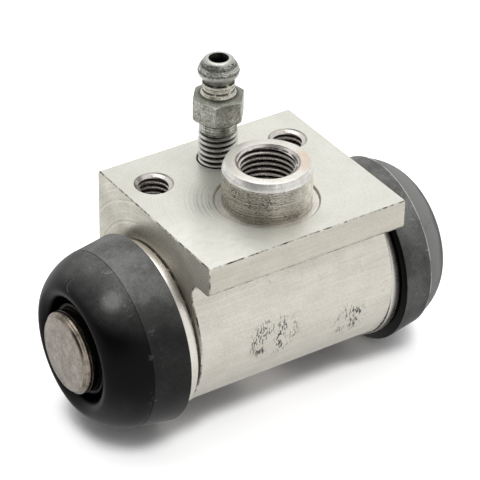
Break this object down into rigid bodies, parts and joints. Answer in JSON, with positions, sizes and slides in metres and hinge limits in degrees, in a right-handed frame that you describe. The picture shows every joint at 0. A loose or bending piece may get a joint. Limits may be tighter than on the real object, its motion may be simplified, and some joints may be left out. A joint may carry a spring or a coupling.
{
  "type": "wheel cylinder",
  "caption": "Hydraulic drum brake wheel cylinder: flanged aluminium body with inlet boss, bleed screw and opposed pistons in rubber dust boots, which push the brake shoes apart.",
  "frame": {"origin": "on the mounting face at mid-length, in the flat strip between the inlet boss and the bleed screw", "axes": "+X along the bore, +Z the mounting face's outward normal, +Y from the inlet boss towards the bleed screw"},
  "size_m": [0.0692, 0.0343, 0.0554],
  "materials": {
    "body_aluminium": "satin, extruded and machined",
    "plated_steel": "dull plated, machined",
    "piston_steel": "turned",
    "spring_steel": "drawn wire",
    "seal_rubber": "smooth moulded",
    "boot_rubber": "satin moulded, dusty"
  },
  "bodies": {
    "housing": {"cylinder_body": "body_aluminium", "dust_boot_left": "boot_rubber", "dust_boot_right": "boot_rubber", "return_spring": "spring_steel"},
    "left_piston": {"piston_left": "piston_steel", "seal_left": "seal_rubber"},
    "right_piston": {"piston_right": "piston_steel", "seal_right": "seal_rubber"},
    "bleeder": {"bleeder_screw": "plated_steel"}
  },
  "joints": [
    {"name": "left_piston_slide", "type": "slide", "parent": "housing", "child": "left_piston", "axis": [-1, 0, 0], "range_m": [-0.0025, 0.005], "stiffness_N_per_m": 500, "deforming": ["dust_boot_left", "return_spring"]},
    {"name": "right_piston_slide", "type": "slide", "parent": "housing", "child": "right_piston", "axis": [1, 0, 0], "range_m": [-0.0007, 0.0068], "stiffness_N_per_m": 500, "deforming": ["dust_boot_right", "return_spring"]},
    {"name": "bleeder_turn", "type": "hinge", "parent": "housing", "child": "bleeder", "pos_m": [0, 0.00485, 0], "axis": [0, 0, 1], "range_deg": [0, 180]}
  ]
}
